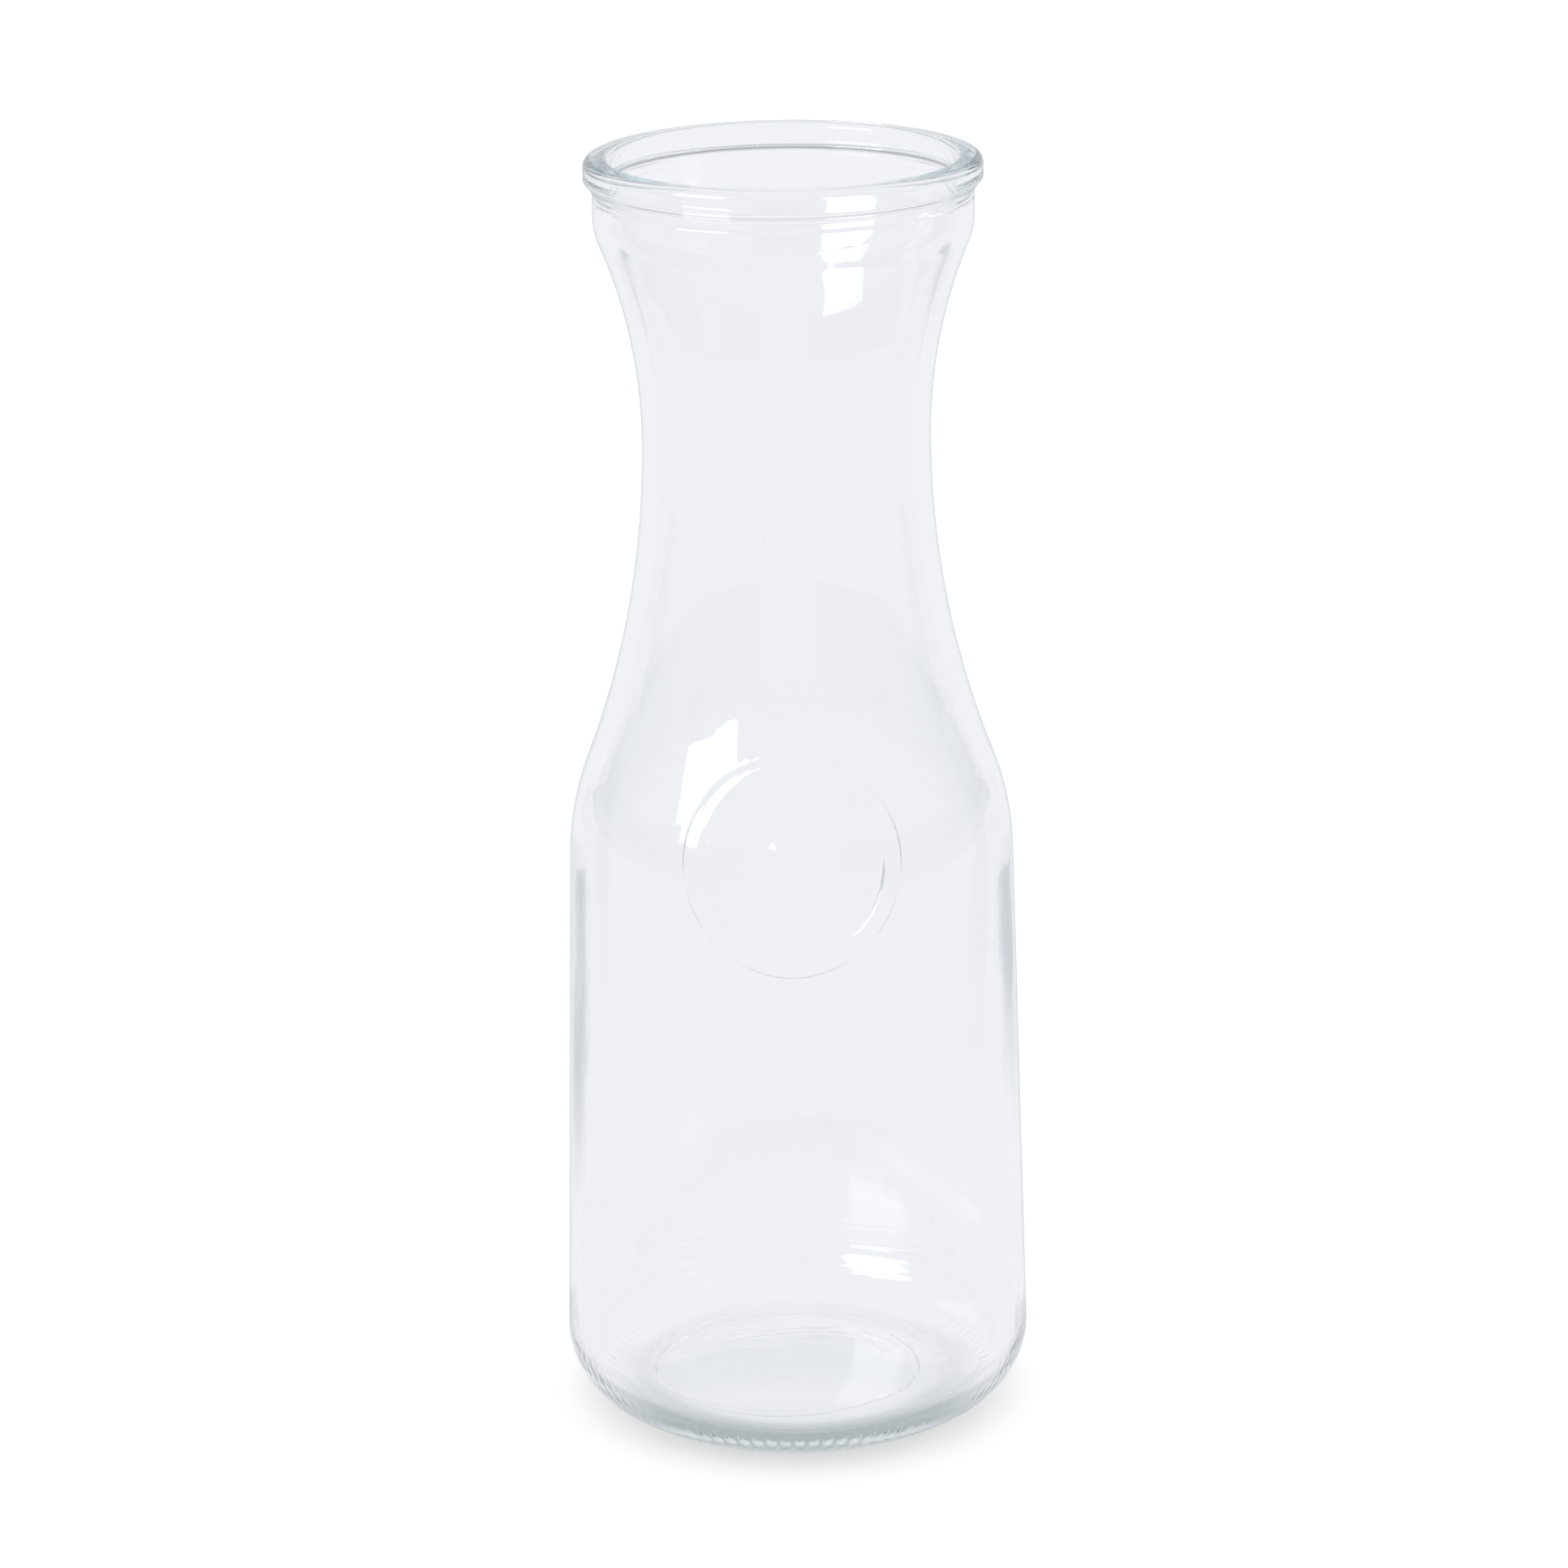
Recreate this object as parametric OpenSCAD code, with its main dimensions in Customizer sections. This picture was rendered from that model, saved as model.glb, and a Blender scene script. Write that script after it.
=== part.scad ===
// Water carafe: one piece of clear pressed-and-blown glass.
// The axis is Z, the table is z = 0 and the round plate on the shoulder faces -Y.
// The section is built from straight lines and arcs that run smoothly into each other.

/* [Overall] */
// Height from the table to the top of the rim
height = 260; // [210:1:320]

/* [Body] */
// Diameter that the tapered side would have at the table, before the heel is rounded
body_d = 96.3; // [90:0.1:110]
// Lean of the side towards the axis, in degrees
draft = 1.53; // [0:0.01:3]
// Radius of the heel, between the side and the table
heel_r = 15; // [10:0.5:18]
// Radius of the shoulder, where the side turns in towards the neck
shoulder_r = 58; // [30:1:80]

/* [Neck] */
// Outside diameter at the narrowest place
waist_d = 57.4; // [50:0.1:62]
// Distance from the top of the rim down to the narrowest place
waist_drop = 56; // [50:1:70]
// Radius of the long hollow curve below the narrowest place
neck_r = 185; // [150:1:220]
// Radius of the hollow curve above the narrowest place
flare_r = 103; // [80:1:130]

/* [Rim] */
// Outside diameter of the collar under the bead
collar_d = 74.9; // [70:0.1:80]
// Radius where the flare turns up into the collar
collar_fillet_r = 12; // [6:0.5:16]
// Outside diameter of the bead round the mouth
bead_d = 78.3; // [76:0.1:90]
// Height of the bead from the top of the rim to the lower edge of its face
bead_h = 4.4; // [3:0.1:7]
// Height of the slope from the bead back to the collar
bead_slope_h = 2.1; // [1:0.1:5]
// Distance from the top of the rim down to the mould's seam round the collar
seam_drop = 8; // [7.5:0.1:9]
// Width of the seam's groove
seam_w = 0.8; // [0.4:0.1:1.2]
// Depth of the seam's groove
seam_depth = 0.2; // [0.1:0.05:0.3]
// Rounding of the bead's outer top edge
bead_round = 1.8; // [0.5:0.1:2.5]
// Rounding of the mouth's inner top edge
lip_round = 1.2; // [0.5:0.1:1.6]

/* [Walls] */
// Wall of the body and shoulder
body_wall = 2.6; // [2:0.1:4]
// Wall of the neck, flare and collar
neck_wall = 3.4; // [2.5:0.1:4.5]
// Radius inside the mouth where the flare turns up into the straight land
mouth_fillet_r = 9; // [4:0.5:12]
// Radius inside the body between the side and the floor
inner_heel_r = 12.4; // [8:0.1:18]
// Glass of the floor, which follows the hollow underneath
floor_t = 3.4; // [2.5:0.1:8]

/* [Underside] */
// Width of the flat ring that stands on the table
bearing_w = 2.2; // [2:0.1:6]
// Height of the hollow in the middle of the underside
push_up = 3; // [1:0.1:7]
// Diameter of the mould's ring mark in the hollow
mark_d = 55; // [30:0.5:58]
// Distance of the ring mark from the axis, towards -X
mark_shift = 2.7; // [0:0.1:3]
// Width of the ring mark
mark_w = 0.6; // [0.3:0.1:1.5]
// Depth of the ring mark
mark_depth = 0.3; // [0.1:0.1:0.6]

/* [Knurl] */
// Number of grooves on the lower heel
knurl_n = 88; // [60:1:100]
// Width of each groove
knurl_w = 0.9; // [0.5:0.1:1.2]
// Depth of each groove
knurl_depth = 0.2; // [0.1:0.05:0.5]
// Angle on the heel at the middle of each groove, from straight down, in degrees
knurl_angle = 33; // [26:1:40]
// Length of each groove
knurl_len = 7; // [4:0.5:9]

/* [Plate] */
// Diameter of the round plate on the shoulder
plate_d = 43; // [30:1:50]
// Distance from the narrowest place down to the plate's centre
plate_drop = 77; // [70:1:90]
// Rise of the plate's raised edge from the side
plate_rise = 1; // [0.4:0.1:2]
// Width of the plate's raised edge
plate_edge = 3.4; // [1:0.1:4]
// Rise of the plate's middle from the side
plate_middle_rise = 0.4; // [0.2:0.1:1.5]

/* [Hidden] */
$fn = 240;

// Greatest turn between two points of a long curve, in degrees
arc_step = 1.5;
// Slack by which a cutting shape runs past the surface that it cuts
past = 1;

side_r = body_d / 2;
waist_r = waist_d / 2;
waist_z = height - waist_drop;
plate_z = waist_z - plate_drop;
collar_r = collar_d / 2;
bead_r = bead_d / 2;
mouth_r = collar_r - neck_wall;
bead_edge_z = height - bead_h;
bead_low_z = bead_edge_z - bead_slope_h;

// Directions in the section: up along the side, and square out from it
side_up = [-sin(draft), cos(draft)];
side_out = [cos(draft), sin(draft)];

heel_c = arc_in_heel(side_r, heel_r, 0);
bearing_r = heel_c[0] - bearing_w;
// Radius and centre of the ball that hollows the underside inside the bearing ring
push_up_r = (bearing_r * bearing_r + push_up * push_up) / (2 * push_up);
push_up_c = [0, push_up - push_up_r];
// Angle at which the floor's rise over that ball meets the level of the floor's edge
rise_end = asin((floor_t - push_up_c[1]) / (push_up_r + floor_t));

function unit(v) = v / norm(v);

// Centre of an arc of radius r that touches the side line and the level z
function arc_in_heel(line_r, r, z) =
    [line_r - (z + r) * tan(draft) - r / cos(draft), z + r];

// Centre of an arc of radius r that lies inside the side line and touches the neck's arc
function arc_in_shoulder(line_r, r, neck_c, neck_arc_r) =
    let (start = [line_r, 0] - r * side_out,
         w = start - neck_c,
         along = w * side_up,
         rest = w * w - pow(r + neck_arc_r, 2))
    start + (-along - sqrt(along * along - rest)) * side_up;

// Centre of an arc of radius r that lies inside the collar and touches the flare's arc
function arc_in_collar(line_r, r, flare_c, flare_arc_r) =
    [line_r - r,
     flare_c[1] + sqrt(pow(r + flare_arc_r, 2) - pow(flare_c[0] - line_r + r, 2))];

// Points along an arc round c, from just after the angle a to the angle b
function arc_on(c, r, a, b) =
    let (n = ceil(abs(b - a) / arc_step))
    [for (i = [1:n]) c + r * [cos(a + (b - a) * i / n), sin(a + (b - a) * i / n)]];

// Part of a disc that lies beyond the chord from a to b, on the far side from its centre c
module segment(a, b, c, r) {
    out = unit((a + b) / 2 - c) * r;
    intersection() {
        translate(c) circle(r);
        polygon([a, b, b + out, a + out]);
    }
}

// Half section from the axis to one skin of the vessel: heel, side, shoulder, neck, flare and
// collar, up to the level top. The skin lies outside the outer face by body on the side and
// shoulder, and by neck from there up. The points of middle shape the floor from the axis out.
module half_section(body, neck, floor_level, heel, collar_arc, top, middle = []) {
    line_r = side_r + body / cos(draft);
    waist = [waist_r + neck, waist_z];
    neck_arc = neck_r - neck;
    flare_arc = flare_r - neck;
    shoulder_arc = shoulder_r + body;
    neck_c = waist + [neck_arc, 0];
    flare_c = waist + [flare_arc, 0];
    foot_c = arc_in_heel(line_r, heel, floor_level);
    shoulder_c = arc_in_shoulder(line_r, shoulder_arc, neck_c, neck_arc);
    collar_c = arc_in_collar(collar_r + neck, collar_arc, flare_c, flare_arc);

    foot = [foot_c[0], floor_level];
    side_low = foot_c + heel * side_out;
    side_high = shoulder_c + shoulder_arc * side_out;
    // Angles at which the shoulder meets the neck, and the flare meets the collar
    turn_in = atan2(neck_c[1] - shoulder_c[1], neck_c[0] - shoulder_c[0]);
    turn_up = atan2(flare_c[1] - collar_c[1], flare_c[0] - collar_c[0]);

    polygon(concat(
        len(middle) > 0 ? middle : [[0, floor_level]],
        [foot, side_low, side_high],
        arc_on(shoulder_c, shoulder_arc, draft, turn_in),
        arc_on(neck_c, neck_arc, 180 + turn_in, 180),
        arc_on(flare_c, flare_arc, 180, 180 + turn_up),
        arc_on(collar_c, collar_arc, turn_up, 0),
        [[collar_r + neck, top], [0, top]]));
    segment(foot, side_low, foot_c, heel);
}

// Bead round the mouth, with its rounded outer top edge and the slope down to the collar
module bead_section() {
    round_c = [bead_r - bead_round, height - bead_round];
    face_top = [bead_r, round_c[1]];
    top_edge = [round_c[0], height];
    polygon([[mouth_r, bead_low_z], [collar_r, bead_low_z], [bead_r, bead_edge_z],
             face_top, top_edge, [mouth_r, height]]);
    segment(face_top, top_edge, round_c, bead_round);
}

// Inside of the vessel, open at the top through the rounded lip
module cavity_section() {
    lip_c = [mouth_r + lip_round, height - lip_round];
    lip_low = [mouth_r, lip_c[1]];
    lip_top = [lip_c[0], height];
    rise = concat([[0, push_up + floor_t]], arc_on(push_up_c, push_up_r + floor_t, 90, rise_end));
    half_section(-body_wall, -neck_wall, floor_t, inner_heel_r, mouth_fillet_r, lip_low[1], rise);
    difference() {
        polygon([[0, lip_low[1]], lip_low, lip_top, lip_top + [0, past], [0, height + past]]);
        segment(lip_low, lip_top, lip_c, lip_round);
    }
}

// Outside of the vessel as a full solid, from the bearing ring to the rounded rim
module outer_form() {
    rotate_extrude() {
        half_section(0, 0, 0, heel_r, collar_fillet_r, height);
        bead_section();
    }
}

// Fine groove round the collar, where the mould of the rim meets that of the body
module seam() {
    z = height - seam_drop;
    rotate_extrude() polygon([[collar_r - seam_depth, z], [collar_r + seam_depth, z - seam_w],
                              [collar_r + seam_depth, z + seam_w]]);
}

// Round bar through the front of the body at the plate, longer by extra at each end
module plate_bar(d, extra = 0) {
    translate([0, extra - waist_r / 2, plate_z])
        rotate([90, 0, 0]) cylinder(d = d, h = body_d + 2 * extra);
}

// Skin of the vessel, moved out by rise, from which the plate is cut
module plate_skin(rise) {
    rotate_extrude() half_section(rise, rise, 0, heel_r, collar_fillet_r, height);
}

module plate() {
    intersection() {
        plate_skin(plate_middle_rise);
        plate_bar(plate_d);
    }
    intersection() {
        plate_skin(plate_rise);
        difference() {
            plate_bar(plate_d);
            plate_bar(plate_d - 2 * plate_edge, past);
        }
    }
}

// Hollow of the underside, inside the bearing ring
module hollow() {
    translate([0, 0, push_up_c[1]]) sphere(push_up_r);
}

// Ring mark that the bottom of the mould leaves in the hollow, a little off the axis
module ring_mark() {
    intersection() {
        translate([0, 0, push_up_c[1]]) sphere(push_up_r + mark_depth);
        translate([-mark_shift, 0, -past]) difference() {
            cylinder(d = mark_d + mark_w, h = push_up + 2 * past);
            translate([0, 0, -past]) cylinder(d = mark_d - mark_w, h = push_up + 4 * past);
        }
    }
}

// Short grooves that run down the lower heel and stop short of the bearing ring
module knurl() {
    tip = heel_r - knurl_depth;
    open_end = heel_r + knurl_depth;
    for (i = [0:knurl_n - 1])
        rotate([0, 0, i * 360 / knurl_n])
            translate([heel_c[0], 0, heel_c[1]])
                rotate([0, -knurl_angle, 0])
                    translate([-knurl_len / 2, 0, 0]) rotate([90, 0, 90]) linear_extrude(knurl_len)
                        polygon([[0, -tip], [knurl_w, -open_end], [-knurl_w, -open_end]]);
}

module glass_carafe() {
    color([0.86, 0.93, 0.93, 0.4])
        difference() {
            union() {
                outer_form();
                plate();
            }
            rotate_extrude() cavity_section();
            hollow();
            ring_mark();
            knurl();
            seam();
        }
}

glass_carafe();
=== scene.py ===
"""Clear glass water carafe on a white table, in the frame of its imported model."""
import math
from functools import partial

import bpy
from mathutils import Matrix, Vector


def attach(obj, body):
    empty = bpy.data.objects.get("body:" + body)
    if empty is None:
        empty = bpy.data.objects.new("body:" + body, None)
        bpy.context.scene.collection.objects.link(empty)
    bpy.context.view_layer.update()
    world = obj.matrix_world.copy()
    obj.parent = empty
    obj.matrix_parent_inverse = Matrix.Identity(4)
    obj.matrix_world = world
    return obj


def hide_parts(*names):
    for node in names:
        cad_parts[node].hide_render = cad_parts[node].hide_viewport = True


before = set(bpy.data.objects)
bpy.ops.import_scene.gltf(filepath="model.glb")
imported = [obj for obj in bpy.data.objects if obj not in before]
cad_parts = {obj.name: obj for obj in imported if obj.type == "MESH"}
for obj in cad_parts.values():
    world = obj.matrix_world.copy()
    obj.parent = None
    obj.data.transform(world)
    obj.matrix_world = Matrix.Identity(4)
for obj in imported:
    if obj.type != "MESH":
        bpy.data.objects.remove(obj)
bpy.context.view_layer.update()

# Glass vessel.
# The whole carafe is one piece of clear soda-lime glass. A gob is pressed for the mouth and then
# blown into a mould, which leaves the bead, the plate on the shoulder and the grooved heel.

MM = 0.001

# Outside of the section, in millimetres: side, heel, shoulder, neck, flare and collar
HEIGHT = 260.0
SIDE_R = 48.15
DRAFT = math.radians(1.53)
HEEL_R = 15.0
SHOULDER_R = 58.0
WAIST = (28.7, 204.0)
NECK_R = 185.0
FLARE_R = 103.0
COLLAR_R = 37.45
COLLAR_TURN_R = 12.0

# Rim: the bead, its slope back to the collar with a fine line in it, and the mould's roundings
BEAD_R = 39.15
BEAD_EDGE_Z = 255.6
BEAD_LOW_Z = 253.5
LINE_W = 0.9
LINE_DEPTH = 0.25
LINE_STEPS = 4
BEAD_ROUND = 1.8
BEAD_EDGE_ROUND = 0.8
BEAD_LOW_ROUND = 0.5
LIP_ROUND = 1.2

# Walls, floor and underside
BODY_WALL = 2.6
NECK_WALL = 3.4
MOUTH_TURN_R = 9.0
INNER_HEEL_R = 12.4
FLOOR_T = 3.4
BEARING_W = 2.2
PUSH_UP = 3.0

# Blank round plate on the shoulder: a raised edge round a lower, dished middle. The step at its
# outline makes most of the rise, and the rest is a ramp over half of the edge.
PLATE_D = 43.0
PLATE_Z = 127.0
PLATE_RISE = 1.0
PLATE_EDGE = 3.4
PLATE_STEP = 0.5
PLATE_STEP_SHARE = 0.6
PLATE_SINK = 0.2
PLATE_DISH = 0.8

# Short grooves on the lower heel: their middle and reach are angles from straight down
GROOVES = 88
GROOVE_DEPTH = 0.35
GROOVE_ANGLE = 33.0
GROOVE_REACH = 9.4

# Steps round the axis: eight to a groove across the front, where the plate is, and three elsewhere.
# Along the outside they get finer from just under the plate up.
FRONT_GROOVES = 16
FRONT_STEPS = 8 * FRONT_GROOVES
STEPS = FRONT_STEPS + 3 * (GROOVES - FRONT_GROOVES)
FINE_FROM_Z = 104.5
INNER_PART_Z = 60.0


def along_arc(centre, radius, start, end, steps):
    """Points of an arc in the section, without its first one"""
    return [(centre[0] + radius * math.cos(start + (end - start) * i / steps),
             centre[1] + radius * math.sin(start + (end - start) * i / steps))
            for i in range(1, steps + 1)]


def along_line(a, b, steps):
    """Points of a straight stretch of the section, without its first one"""
    return [(a[0] + (b[0] - a[0]) * i / steps, a[1] + (b[1] - a[1]) * i / steps)
            for i in range(1, steps + 1)]


def rounded_corner(a, corner, b, radius, steps):
    """Points that round a corner between two straight stretches, with a guard point on each"""
    guard = 0.06
    to_a = (Vector(a) - Vector(corner)).normalized()
    to_b = (Vector(b) - Vector(corner)).normalized()
    half = to_a.angle(to_b) / 2
    run = radius / math.tan(half)
    centre = Vector(corner) + (to_a + to_b).normalized() * radius / math.sin(half)
    first, last = Vector(corner) + to_a * run - centre, Vector(corner) + to_b * run - centre
    points = [tuple(centre + first + to_a * guard)]
    for i in range(steps + 1):
        way = first.lerp(last, i / steps).normalized() * radius
        points.append(tuple(centre + way))
    return points + [tuple(centre + last + to_b * guard)]


class Skin:
    """Arcs of one face of the wall: body moves the side and shoulder outwards, neck the rest"""

    def __init__(self, body, neck, floor, heel, collar_turn):
        self.line_r = SIDE_R + body / math.cos(DRAFT)
        heel_z = floor + heel
        self.heel_c = (self.line_r - heel_z * math.tan(DRAFT) - heel / math.cos(DRAFT), heel_z)
        self.heel, self.shoulder = heel, SHOULDER_R + body
        self.neck, self.flare, self.turn = NECK_R - neck, FLARE_R - neck, collar_turn
        self.neck_c = Vector((WAIST[0] + NECK_R, WAIST[1]))
        self.flare_c = Vector((WAIST[0] + FLARE_R, WAIST[1]))
        out = Vector((math.cos(DRAFT), math.sin(DRAFT)))
        up = Vector((-math.sin(DRAFT), math.cos(DRAFT)))
        start = Vector((self.line_r, 0.0)) - self.shoulder * out
        gap = start - self.neck_c
        along = gap.dot(up)
        self.shoulder_c = start + up * (-along - math.sqrt(
            along ** 2 - gap.length_squared + (self.shoulder + self.neck) ** 2))
        collar = COLLAR_R + neck
        self.collar_c = Vector((collar - collar_turn, self.flare_c.y + math.sqrt(
            (collar_turn + self.flare) ** 2 - (self.flare_c.x - collar + collar_turn) ** 2)))
        self.side_low = Vector(self.heel_c) + heel * out
        self.side_high = self.shoulder_c + self.shoulder * out
        turn_in, turn_up = self.neck_c - self.shoulder_c, self.flare_c - self.collar_c
        self.turn_in = math.atan2(turn_in.y, turn_in.x)
        self.turn_up = math.atan2(turn_up.y, turn_up.x)

    def heel_points(self, steps):
        return along_arc(self.heel_c, self.heel, -math.pi / 2, DRAFT, steps)

    def side_points(self, z, below, above):
        """The straight side, with its steps changed at the height z"""
        share = (z - self.side_low.y) / (self.side_high.y - self.side_low.y)
        part = self.side_low.lerp(self.side_high, share)
        return along_line(self.side_low, part, below) + along_line(part, self.side_high, above)

    def shoulder_points(self, steps):
        return along_arc(self.shoulder_c, self.shoulder, DRAFT, self.turn_in, steps)

    def neck_points(self, low, high):
        """The hollow neck, with its steps changed a little over a quarter of the way up"""
        upper_share = 0.72
        part = math.pi + self.turn_in * upper_share
        return (along_arc(self.neck_c, self.neck, math.pi + self.turn_in, part, low)
                + along_arc(self.neck_c, self.neck, part, math.pi, high))

    def flare_points(self, steps):
        return along_arc(self.flare_c, self.flare, math.pi, math.pi + self.turn_up, steps)

    def collar_points(self, steps):
        return along_arc(self.collar_c, self.turn, self.turn_up, 0.0, steps)


outer = Skin(0.0, 0.0, 0.0, HEEL_R, COLLAR_TURN_R)
inner = Skin(-BODY_WALL, -NECK_WALL, FLOOR_T, INNER_HEEL_R, MOUTH_TURN_R)
mouth_r = COLLAR_R - NECK_WALL
bearing_r = outer.heel_c[0] - BEARING_W
hollow_r = (bearing_r ** 2 + PUSH_UP ** 2) / (2 * PUSH_UP)
hollow_c = (0.0, PUSH_UP - hollow_r)

# Underside: the hollow from the axis out, then the flat ring that stands on the table
hollow_end = math.pi / 2 - math.asin(bearing_r / hollow_r)
underside = [(0.0, PUSH_UP)] + along_arc(hollow_c, hollow_r, math.pi / 2, hollow_end, 10)
underside += along_line((bearing_r, 0.0), (outer.heel_c[0], 0.0), 3)

# Outside: the rounded corners of the bead stand on the points of its section
bead_points = [(COLLAR_R, outer.collar_c.y), (COLLAR_R, BEAD_LOW_Z), (BEAD_R, BEAD_EDGE_Z),
               (BEAD_R, HEIGHT), (mouth_r, HEIGHT), (mouth_r, inner.collar_c.y)]
outside = outer.heel_points(26) + outer.side_points(FINE_FROM_Z, 10, 26)
outside += outer.shoulder_points(34) + outer.neck_points(20, 14)
outside += outer.flare_points(12) + outer.collar_points(6)
outside += rounded_corner(*bead_points[0:3], BEAD_LOW_ROUND, 4)
slope_low, slope_high = Vector(bead_points[1]), Vector(bead_points[2])
slope = (slope_high - slope_low).normalized()
slope_in = Vector((-slope.y, slope.x))
for i in range(-LINE_STEPS, LINE_STEPS + 1):
    share = i / LINE_STEPS
    sunk = LINE_DEPTH * math.cos(math.pi / 2 * share) ** 2
    outside.append(tuple(slope_low.lerp(slope_high, 0.5) + slope * (LINE_W / 2 * share)
                         + slope_in * sunk))
outside += rounded_corner(*bead_points[1:4], BEAD_EDGE_ROUND, 5)
outside += rounded_corner(*bead_points[2:5], BEAD_ROUND, 9)

# Inside: over the lip, down the straight land, along the inner arcs and over the rise of the floor
inside = rounded_corner(*bead_points[3:6], LIP_ROUND, 8)
inner_face = inner.heel_points(14) + inner.side_points(INNER_PART_Z, 5, 5)
inner_face += inner.shoulder_points(8) + inner.neck_points(5, 12)
inner_face += inner.flare_points(10) + inner.collar_points(6)
inside += inner_face[::-1]
floor_r = hollow_r + FLOOR_T
floor_end = math.asin((FLOOR_T - PUSH_UP + hollow_r) / floor_r)
inside += along_line((inner.heel_c[0], FLOOR_T), (floor_r * math.cos(floor_end), FLOOR_T), 2)
inside += along_arc(hollow_c, floor_r, floor_end, math.pi / 2, 10)

section_points = underside + outside + inside
section = bpy.data.meshes.new("carafe_section")
section.from_pydata([(r * MM, 0.0, z * MM) for r, z in section_points],
                    [(i, i + 1) for i in range(len(section_points) - 1)], [])

# How far each point of the section takes part in the plate's relief and in the grooves
plate_share = section.attributes.new("plate_share", "FLOAT", "POINT")
groove_share = section.attributes.new("groove_share", "FLOAT", "POINT")
first_outside = len(underside)
for i, (_, z) in enumerate(section_points):
    on_outside = first_outside <= i < first_outside + len(outside)
    plate_share.data[i].value = 1.0 if on_outside else 0.0
    if on_outside and z < HEEL_R:
        angle = math.degrees(math.acos(max(-1.0, min(1.0, (outer.heel_c[1] - z) / HEEL_R))))
        groove_share.data[i].value = max(0.0, 1.0 - ((angle - GROOVE_ANGLE) / GROOVE_REACH) ** 2)


class Term:
    """A socket of a node tree, so that shapes and finishes are written as plain sums"""

    def __init__(self, tree, socket):
        self.tree, self.socket = tree, socket

    @staticmethod
    def node(tree, kind, settings=None, inputs=None, output=0):
        """Any node: its settings first, then the values or links of its sockets"""
        made = tree.nodes.new(kind)
        for name, value in (settings or {}).items():
            setattr(made, name, value)
        for place, value in (inputs or {}).items():
            if isinstance(value, Term):
                tree.links.new(value.socket, made.inputs[place])
            else:
                made.inputs[place].default_value = value
        return Term(tree, made.outputs[output])

    def math(self, operation, *others):
        return Term.node(self.tree, "ShaderNodeMath", {"operation": operation},
                         dict(enumerate((self, *others))))

    def __add__(self, other):
        return self.math("ADD", other)

    __radd__ = __add__

    def __sub__(self, other):
        return self.math("SUBTRACT", other)

    def __rsub__(self, other):
        return Term.node(self.tree, "ShaderNodeMath", {"operation": "SUBTRACT"},
                         {0: other, 1: self})

    def __mul__(self, other):
        return self.math("MULTIPLY", other)

    __rmul__ = __mul__

    def __truediv__(self, other):
        return self.math("DIVIDE", other)

    def square(self):
        return self * self

    def clamp(self):
        return Term.node(self.tree, "ShaderNodeClamp", None, {0: self})

    def ramp(self, start, end):
        """0 up to start, then even to 1 at end, which may also lie below start"""
        return ((self - start) / (end - start)).clamp()

    def axes(self):
        """The three parts of a vector"""
        parts = Term.node(self.tree, "ShaderNodeSeparateXYZ", None, {0: self}).socket.node
        return [Term(self.tree, output) for output in parts.outputs]

    def colour(self, first, second):
        """The first colour where the term is 0, the second where it is 1"""
        return Term.node(self.tree, "ShaderNodeMix", {"data_type": "RGBA"},
                         {0: self, 6: first, 7: second}, 2)


# The turning tree: a flat grid takes its radius and height from the section and its angle from
# the turn. The plate rises and the grooves sink along the normal of the turned wall.
turning = bpy.data.node_groups.new("turned_glass", "GeometryNodeTree")
field = partial(Term.node, turning)
tree_sizes = {
    "Steps round": STEPS, "Front steps": FRONT_STEPS,
    "Plate diameter": PLATE_D * MM, "Plate height": PLATE_Z * MM, "Plate rise": PLATE_RISE * MM,
    "Plate edge": PLATE_EDGE * MM, "Plate step": PLATE_STEP * MM, "Plate sink": PLATE_SINK * MM,
    "Plate dish": PLATE_DISH * MM, "Grooves": GROOVES, "Groove depth": GROOVE_DEPTH * MM}
kinds = {"Section": "Geometry"}
kinds.update((name, "Int" if isinstance(value, int) else "Float")
             for name, value in tree_sizes.items())
kinds["Glass"] = "Material"
sockets = {}
for name, kind in kinds.items():
    sockets[name] = turning.interface.new_socket(
        name, in_out="INPUT", socket_type="NodeSocket" + kind)
turning.interface.new_socket("Vessel", in_out="OUTPUT", socket_type="NodeSocketGeometry")
given = turning.nodes.new("NodeGroupInput")
size = {name: Term(turning, given.outputs[name]) for name in sockets}


def stored(name):
    return field("GeometryNodeInputNamedAttribute", {"data_type": "FLOAT"}, {"Name": name})


def from_section(value, kind):
    return field("GeometryNodeSampleIndex", {"data_type": kind, "domain": "POINT"},
                 {"Geometry": size["Section"], "Value": value, "Index": section_index})


point_count = field("GeometryNodeAttributeDomainSize", {"component": "MESH"},
                    {"Geometry": size["Section"]})
grid = field("GeometryNodeMeshGrid", None, {
    "Size X": 1.0, "Size Y": 1.0, "Vertices X": size["Steps round"] + 1,
    "Vertices Y": point_count})
place = field("GeometryNodeInputPosition")
across, along, _ = place.axes()
section_index = ((along + 0.5) * (point_count - 1)).math("ROUND")
step = (across + 0.5) * size["Steps round"]
front_turn = 2 * math.pi * FRONT_GROOVES / GROOVES
side_steps = (size["Steps round"] - size["Front steps"]) / 2
side_share = (step / side_steps).clamp()
side_share = side_share + ((step - side_steps - size["Front steps"]) / side_steps).clamp()
front_share = ((step - side_steps) / size["Front steps"]).clamp()
turn = side_share * (math.pi - front_turn / 2) + front_share * front_turn + math.pi / 2
radius, _, level = from_section(place, "FLOAT_VECTOR").axes()
turned_place = field("ShaderNodeCombineXYZ", None, {
    0: radius * turn.math("COSINE"), 1: radius * turn.math("SINE"), 2: level})
for name in ("plate_share", "groove_share"):
    grid = field("GeometryNodeStoreNamedAttribute", {"data_type": "FLOAT", "domain": "POINT"},
                 {"Geometry": grid, "Name": name, "Value": from_section(stored(name), "FLOAT")})
turned = field("GeometryNodeSetPosition", None, {"Geometry": grid, "Position": turned_place})
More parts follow.
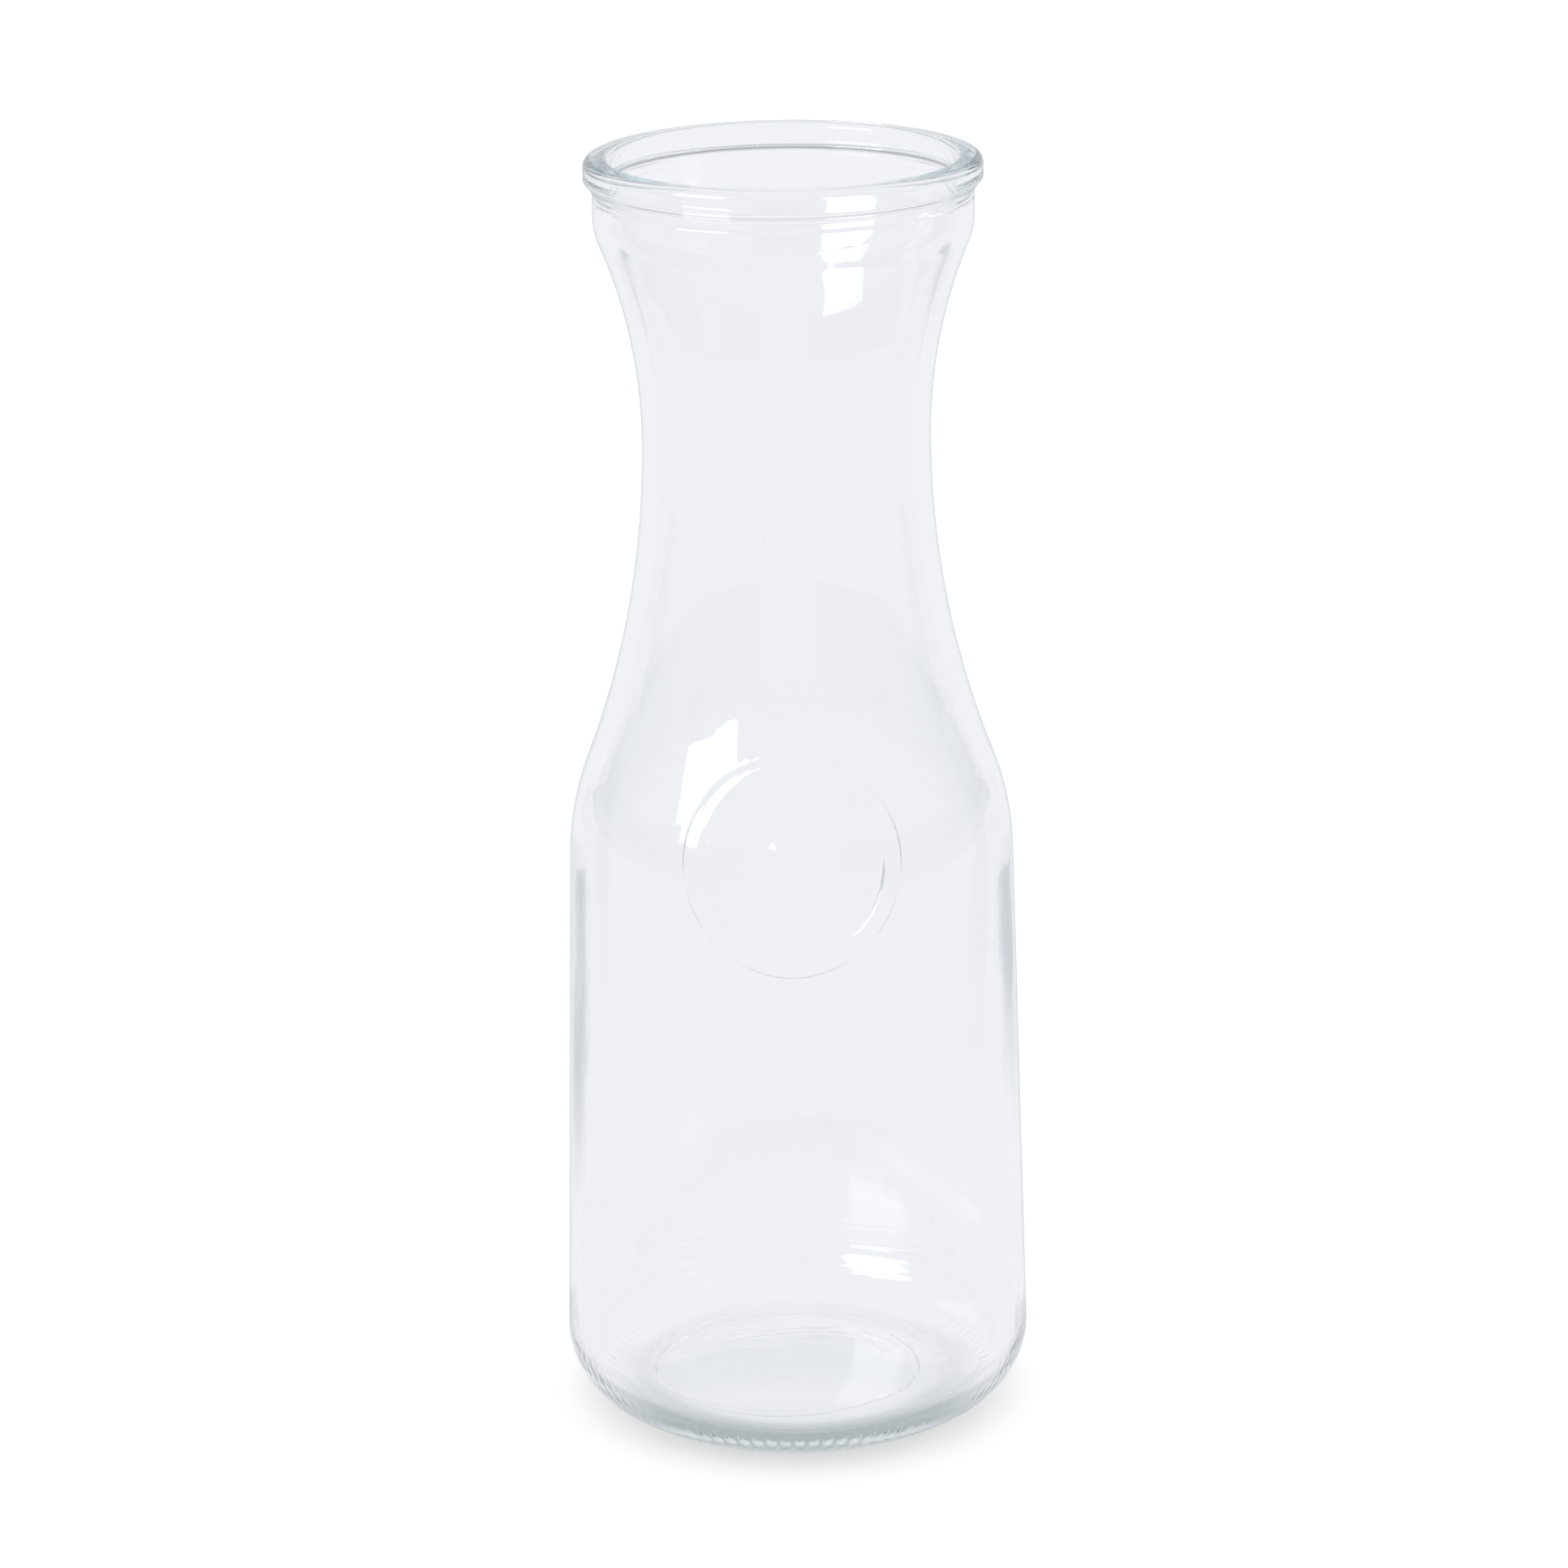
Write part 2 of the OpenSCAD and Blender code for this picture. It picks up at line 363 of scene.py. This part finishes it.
closed = field("GeometryNodeMergeByDistance", None, {"Geometry": turned, "Distance": 1e-6})

x, y, z = field("GeometryNodeInputPosition").axes()
from_centre = (x.square() + (z - size["Plate height"]).square()).math("SQRT")
inwards = size["Plate diameter"] / 2 - from_centre
rise = (inwards / size["Plate step"]).clamp() * PLATE_STEP_SHARE
rise = rise + (inwards * 2 / size["Plate edge"]).clamp() * (1 - PLATE_STEP_SHARE)
middle = inwards - size["Plate edge"]
rise = rise * size["Plate rise"] - (middle / size["Plate step"]).clamp() * size["Plate sink"]
from_edge = from_centre / (size["Plate diameter"] / 2 - size["Plate edge"])
rise = rise - (1 - from_edge.square()).clamp() * size["Plate dish"]
rise = rise * y.math("LESS_THAN", 0.0) * stored("plate_share")
groove = (y.math("ARCTAN2", x) * size["Grooves"]).math("COSINE") * 0.5 + 0.5
groove = groove * size["Groove depth"] * stored("groove_share")
move = field("ShaderNodeVectorMath", {"operation": "SCALE"},
             {0: field("GeometryNodeInputNormal"), "Scale": rise - groove})
vessel = field("GeometryNodeSetPosition", None, {"Geometry": closed, "Offset": move})
vessel = field("GeometryNodeSetShadeSmooth", None, {"Geometry": vessel})
vessel = field("GeometryNodeRealizeInstances", None, {"Geometry": vessel})
vessel = field("GeometryNodeSetMaterial", None, {"Geometry": vessel, "Material": size["Glass"]})
turning.links.new(vessel.socket, turning.nodes.new("NodeGroupOutput").inputs[0])

# Clear glass, faintly blue-green where it is thick
CLEAR = (0.976, 0.98, 0.985, 1.0)
THICK_TINT = (0.0, 0.4, 0.5, 1.0)
TINT_DENSITY = 0.6
GLASS_IOR = 1.52

# Marks of the mould, in millimetres: a ring off the axis in the hollow, and a seam on the collar
MARK_R = 27.5
MARK_SHIFT = 2.7
MARK_W = 0.5
MARK_RISE = 0.15
MARK_BELOW_Z = PUSH_UP + 1.0
SEAM_Z = 252.0
SEAM_W = 0.4
SEAM_DEPTH = 0.12

# Plate: a crisp outline, a crease round the middle at the lower right, a seed in the glass, and a
# dent of the inner wall behind it
CREASE_W = 0.3
CREASE_RISE = 0.25
INNER_CREASE_W = 0.6
INNER_CREASE_SINK = 0.35
INNER_CREASE_REACH = 20.0
SEED_X = -2.6
SEED_Z = PLATE_Z + 4.0
SEED_R = 2.4
SEED_RISE = 0.65
DENT = 2 * PLATE_DISH

# The blown wall is a little wavy, and its inside more so on the far half. Where the gob first met
# the cold mould, chill lines run round the back of the heel.
WAVE_RISE = 0.25
RIPPLE_RISE = 0.03
SWELL_RISE = 0.15
FAR_SWELL_RISE = 0.55
FAR_CHOP_RISE = 0.2
FAR_Y = (8.0, 28.0)
CHILL_RISE = 0.06
CHILL_STEP = 2.5
CHILL_WANDER = 12.0
CHILL_SHIFT = 2.0
CHILL_LOW_Z = (5.0, 7.0)
CHILL_HIGH_Z = (20.0, 14.0)
CHILL_Y = (32.0, 38.0)

# The foot is dulled where it rubs on tables. Under the bead, painted shade greys the base colour in
# a line, more so at the back.
DULL_Z = 1.2
DULL = 0.1
DULL_SPECKS = 0.25
LINE_Z = (BEAD_LOW_Z + BEAD_EDGE_Z) / 2
LINE_SHADE_W = 0.6
LINE_SHADE_GREY = (0.1, 0.11, 0.12, 1.0)
LINE_SHADE_FRONT_SHARE = 0.15
LINE_SHADE_BACK_Y = (0.0, 10.0)

glass = bpy.data.materials.new("clear_glass")
glass.use_nodes = True
shader = glass.node_tree
shader.nodes.clear()
finish = partial(Term.node, shader)
spot = finish("ShaderNodeTexCoord", output="Object")
x, y, z = (part / MM for part in spot.axes())
outside_face = finish("ShaderNodeAttribute", {"attribute_name": "plate_share"}, None, "Fac")
front = y.math("LESS_THAN", 0.0)


def noise(scale, detail, roughness=0.5):
    return finish("ShaderNodeTexNoise", None, {
        "Vector": spot, "Scale": scale, "Detail": detail, "Roughness": roughness})


mark = (((x + MARK_SHIFT).square() + y.square()).math("SQRT") - MARK_R).math("ABSOLUTE")
mark = mark.ramp(MARK_W, 0.0) * z.math("LESS_THAN", MARK_BELOW_Z) * MARK_RISE
seam = (z - SEAM_Z).math("ABSOLUTE").ramp(SEAM_W, 0.0) * SEAM_DEPTH

from_centre = (x.square() + (z - PLATE_Z).square()).math("SQRT")
inwards = PLATE_D / 2 - from_centre
crease = inwards.ramp(0.0, CREASE_W) * CREASE_RISE
inner_crease = inwards.ramp(PLATE_EDGE, PLATE_EDGE + INNER_CREASE_W) * INNER_CREASE_SINK
lower_right = (x - z + PLATE_Z).ramp(0.0, INNER_CREASE_REACH)
from_seed = ((x - SEED_X).square() + (z - SEED_Z).square()) / SEED_R ** 2
seed = (1 - from_seed).clamp().square() * SEED_RISE
outer_marks = (crease - inner_crease * lower_right + seed) * front - seam
from_middle = from_centre / (PLATE_D / 2 - PLATE_EDGE)
dent = (1 - from_middle.square()).clamp() * DENT * front

wave = noise(scale=28.0, detail=1.0, roughness=0.4)
ripple = noise(scale=130.0, detail=2.0)
swell = noise(scale=45.0, detail=1.0)
chop = noise(scale=110.0, detail=1.0)
far = y.ramp(*FAR_Y)
uneven = swell * (SWELL_RISE + FAR_SWELL_RISE * far) + chop * FAR_CHOP_RISE * far - dent
chill = z * (2 * math.pi / CHILL_STEP) + wave * CHILL_WANDER + outside_face * CHILL_SHIFT
chill = chill.math("SINE") * CHILL_RISE
chill = chill * z.ramp(*CHILL_HIGH_Z) * z.ramp(*CHILL_LOW_Z) * y.ramp(*CHILL_Y)

relief = finish("ShaderNodeBump", None, {
    "Strength": 1.0, "Distance": MM,
    "Height": wave * WAVE_RISE + ripple * RIPPLE_RISE + mark + chill
    + uneven * (1 - outside_face) + outer_marks * outside_face}, "Normal")
dull = z.ramp(DULL_Z, 0.0) * (DULL + DULL_SPECKS * noise(scale=900.0, detail=3.0))
# Painted shade: the clear glass is greyed in a line under the bead, darker towards the back
line_shade = (z - LINE_Z).math("ABSOLUTE").ramp(LINE_SHADE_W, 0.0) * outside_face
line_shade = line_shade * (LINE_SHADE_FRONT_SHARE + (1 - LINE_SHADE_FRONT_SHARE) * y.ramp(*LINE_SHADE_BACK_Y))
body = finish("ShaderNodeBsdfPrincipled", None, {
    "Base Color": line_shade.colour(CLEAR, LINE_SHADE_GREY), "Roughness": dull, "IOR": GLASS_IOR,
    "Transmission Weight": 1.0, "Normal": relief})
tint = finish("ShaderNodeVolumeAbsorption", None, {"Color": THICK_TINT, "Density": TINT_DENSITY})
glass_end = shader.nodes.new("ShaderNodeOutputMaterial")
shader.links.new(body.socket, glass_end.inputs["Surface"])
shader.links.new(tint.socket, glass_end.inputs["Volume"])

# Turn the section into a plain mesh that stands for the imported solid
blank = bpy.data.objects.new("carafe_blank", section)
bpy.context.scene.collection.objects.link(blank)
turner = blank.modifiers.new("turned_glass", "NODES")
turner.node_group = turning
for name, value in [*tree_sizes.items(), ("Glass", glass)]:
    turner[sockets[name].identifier] = value
blown = bpy.data.meshes.new_from_object(
    blank.evaluated_get(bpy.context.evaluated_depsgraph_get()))
blown.name = "carafe_glass"
blank.modifiers.remove(turner)
bpy.data.objects.remove(blank)
carafe = bpy.data.objects.new("carafe_glass", blown)
bpy.context.scene.collection.objects.link(carafe)
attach(carafe, "root")
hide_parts("glass_carafe")

# White table.
# A wide smooth sheet under the carafe. The camera sees it white, with the soft shadow that the
# carafe leaves. The glass sees it a little greyer, with dim zones beside the carafe and a painted
# shadow under it.
TABLE_REACH = 6.0
TABLE_Z = -0.0002
WHITE = (1.0, 1.0, 1.0, 1.0)
LIT_GREY = (0.75, 0.75, 0.75, 1.0)
LIFT = 0.43
BOUNCE_GREY = (0.42, 0.45, 0.52, 1.0)
WHITE_IN_GLASS = (0.905, 0.915, 0.94, 1.0)
WEDGE_GREY = (0.61, 0.645, 0.675, 1.0)
CONTACT_SHADOW_GREY = (0.42, 0.47, 0.48, 1.0)

# Two dim wedges open behind the carafe, the right one further back. Their sides are slopes from
# the side of the body, and the rest are metres.
BODY_R = 0.047
LEAST_BEHIND = 0.001
WEDGE_INNER = (0.34, 0.39)
WEDGE_OUTER = (1.15, 0.85)
WEDGE_NEAR = (0.08, 0.18)
WEDGE_RIGHT_SHIFT = 0.05
WEDGE_FAR = (0.44, 0.36)

# What mirrors in the glass is dimmer, most of all from straight behind
MIRROR_DIM = 0.2
MIRROR_BEHIND_DIM = 0.7
MIRROR_BEHIND = (0.0, 0.06)
MIRROR_SLANT = (0.4, 0.25)

# Painted shadow: a dark ring on the table under the front of the heel, seen only in the glass
CONTACT_FRONT = (0.0, -0.035)
CONTACT_LIMIT = (0.052, 0.047)
CONTACT_LEAST = 0.2
RING_R = 0.041
RING_W = 0.011

table_mesh = bpy.data.meshes.new("table")
table_mesh.from_pydata(
    [(a * TABLE_REACH, b * TABLE_REACH, TABLE_Z) for a, b in ((-1, -1), (1, -1), (1, 1), (-1, 1))],
    [], [(0, 1, 2, 3)])
table = bpy.data.objects.new("table", table_mesh)
bpy.context.scene.collection.objects.link(table)
sheet = bpy.data.materials.new("white_table")
sheet.use_nodes = True
sheet_tree = sheet.node_tree
sheet_tree.nodes.clear()
on_sheet = partial(Term.node, sheet_tree)
seen = on_sheet("ShaderNodeLightPath", output="Is Camera Ray")
through = on_sheet("ShaderNodeLightPath", output="Is Transmission Ray")
mirrored = on_sheet("ShaderNodeLightPath", output="Is Glossy Ray") * (1 - through)
aside, behind, _ = on_sheet("ShaderNodeNewGeometry", output="Position").axes()

slant = (aside.math("ABSOLUTE") - BODY_R) / behind.math("MAXIMUM", LEAST_BEHIND)
on_right = aside.math("GREATER_THAN", 0.0)
dim = slant.ramp(*WEDGE_INNER) * slant.ramp(*WEDGE_OUTER) * behind.ramp(*WEDGE_FAR)
dim = dim * (behind - WEDGE_RIGHT_SHIFT * on_right).ramp(*WEDGE_NEAR)
glance = behind.ramp(*MIRROR_BEHIND) * slant.ramp(*MIRROR_SLANT)
dim = dim.math("MAXIMUM", mirrored * (MIRROR_DIM + MIRROR_BEHIND_DIM * glance))
out = (aside.square() + behind.square()).math("SQRT")
ring = (1 - ((out - RING_R) / RING_W).square()).clamp()
# The painted shadow under the heel, for rays that pass through or reflect off the glass
contact_shadow = behind.ramp(*CONTACT_FRONT) * out.ramp(*CONTACT_LIMIT) * (CONTACT_LEAST + ring)
in_glass = contact_shadow.colour(dim.colour(WHITE_IN_GLASS, WEDGE_GREY), CONTACT_SHADOW_GREY)

bright = on_sheet("ShaderNodeEmission", None, {"Color": in_glass, "Strength": 1.0})
lit = on_sheet("ShaderNodeBsdfDiffuse", None, {"Color": LIT_GREY})
lift = on_sheet("ShaderNodeEmission", None, {"Color": WHITE, "Strength": LIFT})
shadowed = on_sheet("ShaderNodeAddShader", None, {0: lit, 1: lift})
plain = on_sheet("ShaderNodeBsdfDiffuse", None, {"Color": BOUNCE_GREY})
both = on_sheet("ShaderNodeMixShader", None, {0: seen, 1: plain, 2: shadowed})
both = on_sheet("ShaderNodeMixShader", None, {0: through + mirrored, 1: both, 2: bright})
sheet_end = sheet_tree.nodes.new("ShaderNodeOutputMaterial")
sheet_tree.links.new(both.socket, sheet_end.inputs["Surface"])
table_mesh.materials.append(sheet)

# Room light.
# Even white light from all round. The glass sees it a little greyer, with dim walls low at both
# sides and a dim band higher up in front and behind, and mirrors a dimmer room.
WALL_GREY = (0.52, 0.56, 0.59, 1.0)
SIDE_FROM = (0.3, 0.4)
SIDE_WALL_TOP = (0.21, 0.15)
BAND_LOW = (0.31, 0.37)
BAND_HIGH = (0.6, 0.5)
MIRROR_WALL = 0.4

room = bpy.data.worlds.new("studio")
bpy.context.scene.world = room
room.use_nodes = True
room_tree = room.node_tree
room_tree.nodes.clear()
in_room = partial(Term.node, room_tree)
through = in_room("ShaderNodeLightPath", output="Is Transmission Ray")
mirrored = in_room("ShaderNodeLightPath", output="Is Glossy Ray") * (1 - through)
sideways, _, upwards = in_room("ShaderNodeTexCoord", output="Generated").axes()
at_side = sideways.math("ABSOLUTE").ramp(*SIDE_FROM)
walls = at_side * upwards.ramp(*SIDE_WALL_TOP)
walls = walls + (1 - at_side) * upwards.ramp(*BAND_LOW) * upwards.ramp(*BAND_HIGH)
walls = walls.math("MAXIMUM", mirrored * MIRROR_WALL)
around = walls.colour(WHITE_IN_GLASS, WALL_GREY)
sky = in_room("ShaderNodeBackground", None, {"Color": (through + mirrored).colour(WHITE, around)})
room_end = room_tree.nodes.new("ShaderNodeOutputWorld")
room_tree.links.new(sky.socket, room_end.inputs["Surface"])

# Soft window.
# A large soft light at the left front, whose mirror image is the white patch on the shoulder and,
# through the glass, the ones on the far wall.
WINDOW_AZIMUTH = math.radians(-50.0)
WINDOW_ELEVATION = math.radians(28.0)
WINDOW_DISTANCE = 1.6
WINDOW_AIM = Vector((0.0, 0.0, 0.13))
WINDOW_W = 0.88
WINDOW_H = 0.85
WINDOW_POWER = 9.4

lamp = bpy.data.lights.new("left_window", "AREA")
lamp.shape = "RECTANGLE"
lamp.size, lamp.size_y, lamp.energy = WINDOW_W, WINDOW_H, WINDOW_POWER
window = bpy.data.objects.new("left_window", lamp)
bpy.context.scene.collection.objects.link(window)
window_way = Vector((math.sin(WINDOW_AZIMUTH) * math.cos(WINDOW_ELEVATION),
                     -math.cos(WINDOW_AZIMUTH) * math.cos(WINDOW_ELEVATION),
                     math.sin(WINDOW_ELEVATION)))
window.location = WINDOW_AIM + window_way * WINDOW_DISTANCE
window.rotation_euler = window_way.to_track_quat("Z", "Y").to_euler()
window.visible_diffuse = False

# Camera.
# A long lens a metre away, a little above the rim, turned so that the carafe leans as it does in
# the picture.
PICTURE_PX = 1932
LENS_PX = 6474.3
PITCH = 0.3045
LEAN = 0.0135
CAMERA_PLACE = (-0.0014, -1.01467, 0.45009)

right = Vector((1.0, 0.0, 0.0))
upward = Vector((0.0, math.sin(PITCH), math.cos(PITCH)))
back = Vector((0.0, -math.cos(PITCH), math.sin(PITCH)))
leaned_right = right * math.cos(LEAN) - upward * math.sin(LEAN)
leaned_up = right * math.sin(LEAN) + upward * math.cos(LEAN)
lens = bpy.data.cameras.new("camera")
lens.sensor_width = 36.0
lens.lens = LENS_PX / PICTURE_PX * lens.sensor_width
lens.clip_end = 50.0
camera = bpy.data.objects.new("camera", lens)
bpy.context.scene.collection.objects.link(camera)
camera.matrix_world = Matrix.Translation(CAMERA_PLACE) @ Matrix(
    (leaned_right, leaned_up, back)).transposed().to_4x4()
bpy.context.scene.camera = camera

# Light has to cross many walls of glass before it leaves the carafe
GLASS_BOUNCES = 96
bpy.context.scene.cycles.max_bounces = GLASS_BOUNCES
bpy.context.scene.cycles.transmission_bounces = GLASS_BOUNCES
bpy.context.scene.cycles.glossy_bounces = GLASS_BOUNCES
bpy.context.scene.view_settings.view_transform = "Standard"
